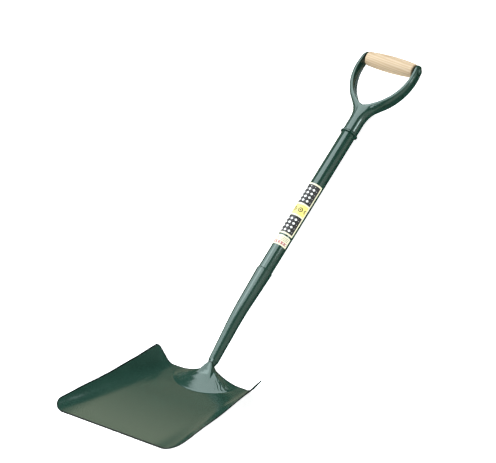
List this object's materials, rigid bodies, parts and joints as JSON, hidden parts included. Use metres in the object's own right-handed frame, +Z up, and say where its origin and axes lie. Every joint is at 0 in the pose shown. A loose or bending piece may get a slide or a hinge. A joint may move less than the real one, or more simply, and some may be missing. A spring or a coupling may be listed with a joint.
{
  "type": "square shovel",
  "caption": "Square-mouth digging shovel: pressed steel pan on a tapered steel socket and tube shaft, with a Y yoke and a turned wooden grip.",
  "frame": {"origin": "bottom centre of the whole shovel's box, as it lies face up on the ground on its heel and its grip", "axes": "+Z up, +Y from the mouth of the blade towards the grip, +X to the right seen from behind the grip's end looking at +Y"},
  "size_m": [0.2966, 0.9962, 0.1894],
  "materials": {
    "green_enamel": "gloss green enamel on steel",
    "ash": "fine turned ash, clear sealed",
    "label_film": "printed film"
  },
  "bodies": {
    "shovel": {"blade": "green_enamel", "shaft_tube": "green_enamel", "yoke_ring": "green_enamel", "yoke": "green_enamel", "grip_rivet": "green_enamel", "washer_left": "green_enamel", "washer_right": "green_enamel", "label_main": "label_film", "label_foot": "label_film"},
    "grip_barrel": {"grip": "ash"}
  },
  "joints": [
    {"name": "grip_turn", "type": "hinge", "parent": "shovel", "child": "grip_barrel", "pos_m": [0, 0.48089, 0.0172], "axis": [1, 0, 0], "continuous": true}
  ]
}
